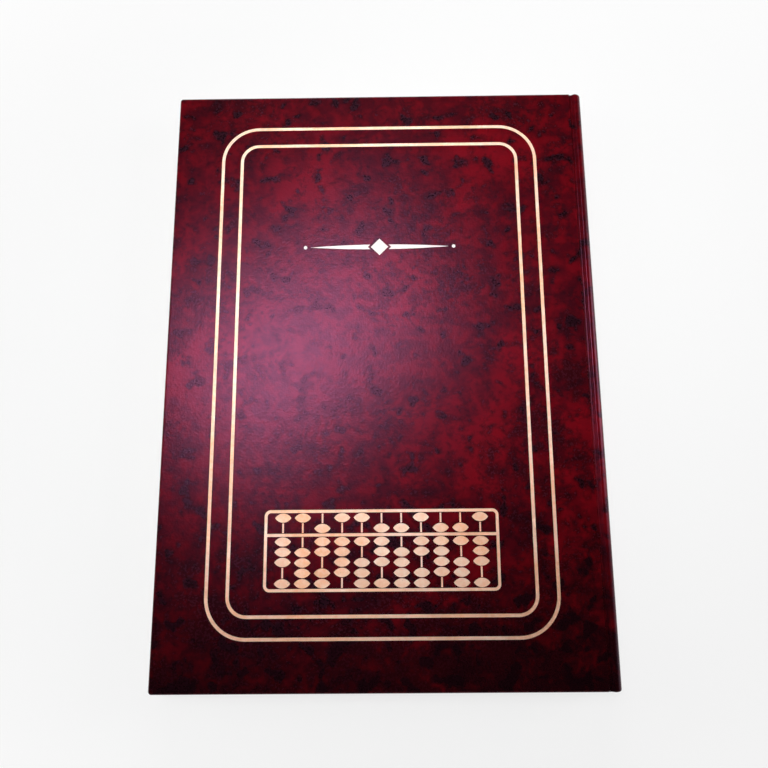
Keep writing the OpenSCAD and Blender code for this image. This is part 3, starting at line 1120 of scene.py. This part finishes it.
@dataclass
class BandPair:
    """Head and tail band of one half of the block: a wound bead on a glued tape."""

    sizes: Sizes
    side: CaseSide
    wrap: float = 0.6
    around: int = 21
    per_wrap: int = 6
    wind_depth: float = 0.1
    wind_power: float = 0.7
    end_power: int = 24
    bead_gap: float = 0.01
    tape_around: int = 17
    tape_shares: tuple = (0, 0, 0.2, 0.8, 1, 1)
    tape_square: float = 1.4
    smooth_angle: float = 50.0

    def heights(self) -> tuple[float, float]:
        """Where this half's bands start and end.

        Returns:
            Lowest and highest place.
        """
        s = self.sizes
        if self.side is CaseSide.BACK:
            return s.block_z + s.end_t, s.gutter_low
        return s.gutter_z, s.total_t - s.block_z - s.block_air - s.end_t

    def bead(self, end: float) -> Shell:
        """Bead at one end: a tube along Z whose radius rises over each winding, closed at both ends.

        The windings are a power of a sine that climbs half a wave round the tube. The ends close with
        the root of one less a high power of the distance from the middle.

        Args:
            end: 1 for the head and -1 for the tail.

        Returns:
            Points and quads.
        """
        s = self.sizes
        low, high = self.heights()
        count = int((high - low) / self.wrap * self.per_wrap)
        z = np.linspace(low, high, count)[:, None]
        turn = np.linspace(0, 2 * math.pi, self.around)[None]
        wind = np.abs(np.sin(math.pi * z / self.wrap + turn / 2)) ** self.wind_power
        away = np.abs(np.linspace(-1, 1, count))[:, None]
        closed = np.sqrt(np.clip(1 - away ** self.end_power, 0, 1))
        radius = s.bead_r * (1 - self.wind_depth + self.wind_depth * wind) * closed
        x = s.fold_x + s.liner_gap - s.bead_r + s.liner_t / 2 + radius * np.cos(turn)
        y = end * (s.page_h / 2 + s.bead_r + self.bead_gap) + radius * np.sin(turn)
        points, quads = surface(x, y, z)
        return points, quads[:, ::-1]

    def tape(self, end: float) -> Shell:
        """Tape at one end: a flat strip carried along Y with a rounded section.

        Args:
            end: 1 for the head and -1 for the tail.

        Returns:
            Points and quads.
        """
        s = self.sizes
        low, high = self.heights()
        turn = np.linspace(0, 2 * math.pi, self.tape_around)[None]
        share = np.array(self.tape_shares)[:, None]
        swell = np.ones_like(share)
        swell[[0, -1]] = 0
        half = (high - low) / 2
        x = s.fold_x + s.liner_gap + s.liner_t * (0.5 + 0.5 * swell * np.cos(turn))
        z = (low + high) / 2 + half * swell * np.clip(self.tape_square * np.sin(turn), -1, 1)
        y = end * (s.page_h / 2 - s.band_tape + (s.band_tape + s.bead_r) * share)
        return surface(x, y, z)

    def build(self, finish: Material) -> Object:
        """Joins beads and tapes of both ends into one piece.

        Args:
            finish: Material of the bands.

        Returns:
            The finished piece.
        """
        shells = [make(end) for end in (1.0, -1.0) for make in (self.bead, self.tape)]
        piece = to_object(f"{self.side.value}_band_pair", *joined(shells), weld=True, closed=True)
        dress(piece, self.smooth_angle, finish)
        node = f"{self.side.value}_bands"
        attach(piece, piece_body(node))
        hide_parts(node)
        return piece


@dataclass(frozen=True)
class Lamp:
    """A soft rectangular lamp. Lengths are in metres, power in watts and the full beam in degrees."""

    name: str
    place: tuple
    aim: tuple
    size: tuple
    power: float
    beam: float = 120.0

    def build(self) -> None:
        """Hangs the lamp and turns it towards the point that it looks at."""
        data = bpy.data.lights.new(self.name, "AREA")
        data.shape = "RECTANGLE"
        data.size, data.size_y = self.size
        data.energy = self.power
        data.spread = math.radians(self.beam)
        lamp = link(self.name, data)
        lamp.location = self.place
        lamp.rotation_mode = "QUATERNION"
        lamp.rotation_quaternion = (Vector(self.aim) - Vector(self.place)).to_track_quat("-Z", "Y")


@dataclass
class Studio:
    """White floor, soft lamps and the camera above the journal.

    Lengths are in millimetres and angles in degrees. The floor shows plain white from far on, and
    keeps part of its shadow up to near, counted from the middle of the opened journal.
    """

    floor_half: float = 20000.0
    floor_points: int = 9
    floor_z: float = -0.3
    floor_light: tuple = (0.93, 0.93, 0.93, 1.0)
    floor_dim: tuple = (0.9, 0.9, 0.9, 1.0)
    floor_cloud: Cloud = Cloud(400.0, 1.0)
    white: tuple = (1.0, 1.0, 1.0, 1.0)
    middle: float = 50.0
    narrow: float = 0.85
    near: float = 150.0
    far: float = 400.0
    near_share: float = 0.77
    seen_by: tuple = ("Is Camera Ray", "Is Glossy Ray", "Is Transmission Ray")
    fill: float = 0.85
    horizon: tuple = (0.1, 0.5)
    overhead: float = 0.04
    lens: float = 33.07
    place: tuple = (3.61, -78.56, 361.66)
    turn: tuple = (11.657, 0.575, -0.467)
    clip: tuple = (10.0, 50000.0)
    lamps: tuple = (
        Lamp("sheen_box", (-0.14, 0.26, 0.9), (0.01, 0.05, 0.0), (0.46, 0.26), 0.36, 38.0),
        Lamp("head_box", (0.0, 0.85, 0.36), (0.06, 0.08, 0.0), (0.5, 0.25), 1.3),
        Lamp("left_box", (-0.85, 0.2, 0.34), (0.0, 0.08, 0.0), (0.4, 0.5), 0.8),
        Lamp("right_box", (0.95, 0.2, 0.4), (0.12, 0.05, 0.0), (0.4, 0.5), 1.7),
    )

    def floor(self) -> None:
        """Pale floor that shows white to the camera and keeps the soft shadow."""
        side = np.linspace(-self.floor_half, self.floor_half, self.floor_points)
        piece = to_object("floor", *surface(side[:, None], side[None], np.array(self.floor_z)))
        s = Shader.material("white_floor")
        pale = s.mix(self.floor_cloud.noise(s.place()) * 0.1, self.floor_light, self.floor_dim)
        matt = s.add("ShaderNodeBsdfDiffuse", None, {"Color": pale})
        glow = s.add("ShaderNodeEmission", None, {"Color": self.white, "Strength": 1.0})
        x, y, _ = s.parts(s.place())
        away = (((x - self.middle) * self.narrow) ** 2 + y * y) ** 0.5
        share = away.ramp(self.near, self.far, self.near_share, 1.0)
        both = s.add("ShaderNodeMixShader", None, {0: self.seen(s) * share, 1: matt, 2: glow})
        s.node("ShaderNodeOutputMaterial", None, {"Surface": both})
        wear(piece, s.owner)

    def world(self) -> None:
        """Plain surroundings, white near the horizon and dim overhead, that add only a low fill."""
        world = bpy.data.worlds.new("studio")
        bpy.context.scene.world = world
        s = Shader(world)
        _, _, up = s.parts(s.add("ShaderNodeTexCoord", out="Generated"))
        sky = up.ramp(*self.horizon, 1.0, self.overhead) * self.seen(s).ramp(0, 1, self.fill, 1.0)
        level = sky.most(s.add("ShaderNodeLightPath", out="Is Camera Ray"))
        back = s.add("ShaderNodeBackground", None, {"Color": self.white, "Strength": level})
        s.node("ShaderNodeOutputWorld", None, {"Surface": back})

    def seen(self, s: Shader) -> Sock:
        """1 for rays from the camera or off a glossy or clear surface, else 0."""
        rays = [s.add("ShaderNodeLightPath", out=name) for name in self.seen_by]
        return reduce(Sock.most, rays)

    def camera(self) -> None:
        """Camera held above the journal, a little towards its tail."""
        data = bpy.data.cameras.new("camera")
        data.lens = self.lens
        data.clip_start, data.clip_end = (end * MM for end in self.clip)
        camera = link("camera", data)
        camera.location = [c * MM for c in self.place]
        camera.rotation_euler = [math.radians(a) for a in self.turn]
        bpy.context.scene.camera = camera

    def build(self) -> None:
        """Sets up the floor, surroundings, lamps and camera."""
        self.floor()
        self.world()
        for lamp in self.lamps:
            lamp.build()
        self.camera()
        bpy.context.scene.view_settings.view_transform = "Standard"


class Finish(Enum):
    """Finishes of the solids of the frame that stay as they are."""

    GOLD = Foil("gold_foil", rgb(250, 189, 150), rgb(255, 224, 205))
    PALE = Foil("pale_foil", rgb(248, 232, 228), rgb(255, 245, 242), 0.2)
    GREYBOARD = Sheeting("greyboard", rgb(150, 144, 132), rgb(112, 106, 96), rgb(70, 64, 58))
    ENDPAPER = Sheeting("endpaper", rgb(238, 230, 208), rgb(224, 213, 186), rgb(196, 180, 146))
    KRAFT = Sheeting("kraft", rgb(178, 136, 92), rgb(146, 106, 66), rgb(104, 72, 42))
    MULL = Weave("mull", rgb(228, 222, 204), rgb(150, 138, 112), 1.3)
    THREAD = Weave("thread", rgb(232, 226, 208), rgb(176, 164, 136), 0.22)


DRESSES = {
    "foil_ornament": Finish.PALE,
    "foil": Finish.GOLD,
    "board": Finish.GREYBOARD,
    "pastedown": Finish.ENDPAPER,
    "flyleaf": Finish.ENDPAPER,
    "liner": Finish.KRAFT,
    "mull": Finish.MULL,
    "sewing": Finish.THREAD,
}


def dress_solids() -> None:
    """Gives each solid that stays visible the finish that its name calls for."""
    made = {finish: finish.value.make() for finish in Finish}
    for name, node in sorted(frame["nodes"].items()):
        if node.hide_render:
            continue
        finish = next(finish for word, finish in DRESSES.items() if word in name)
        wear(node, made[finish])
        LOG.info("solid %s wears %s", name, finish.name.lower())


def main() -> None:
    """Builds the covering, leaves and bands, dresses the solids and sets the studio."""
    logging.basicConfig(level=logging.INFO, format="%(message)s")
    sizes = Sizes()
    Studio().build()
    leatherette = Leatherette().make()
    for side in CaseSide:
        LOG.info("built %s", Covering(sizes, side).build(leatherette).name)
    paper = LeafPaper().make()
    for number in range(1, 2 * sizes.half_sections + 1):
        LOG.info("built %s", Section(sizes, number).build(paper).name)
    cloth = BandCloth().make()
    for side in CaseSide:
        LOG.info("built %s", BandPair(sizes, side).build(cloth).name)
    dress_solids()


if __name__ == "__main__":
    main()
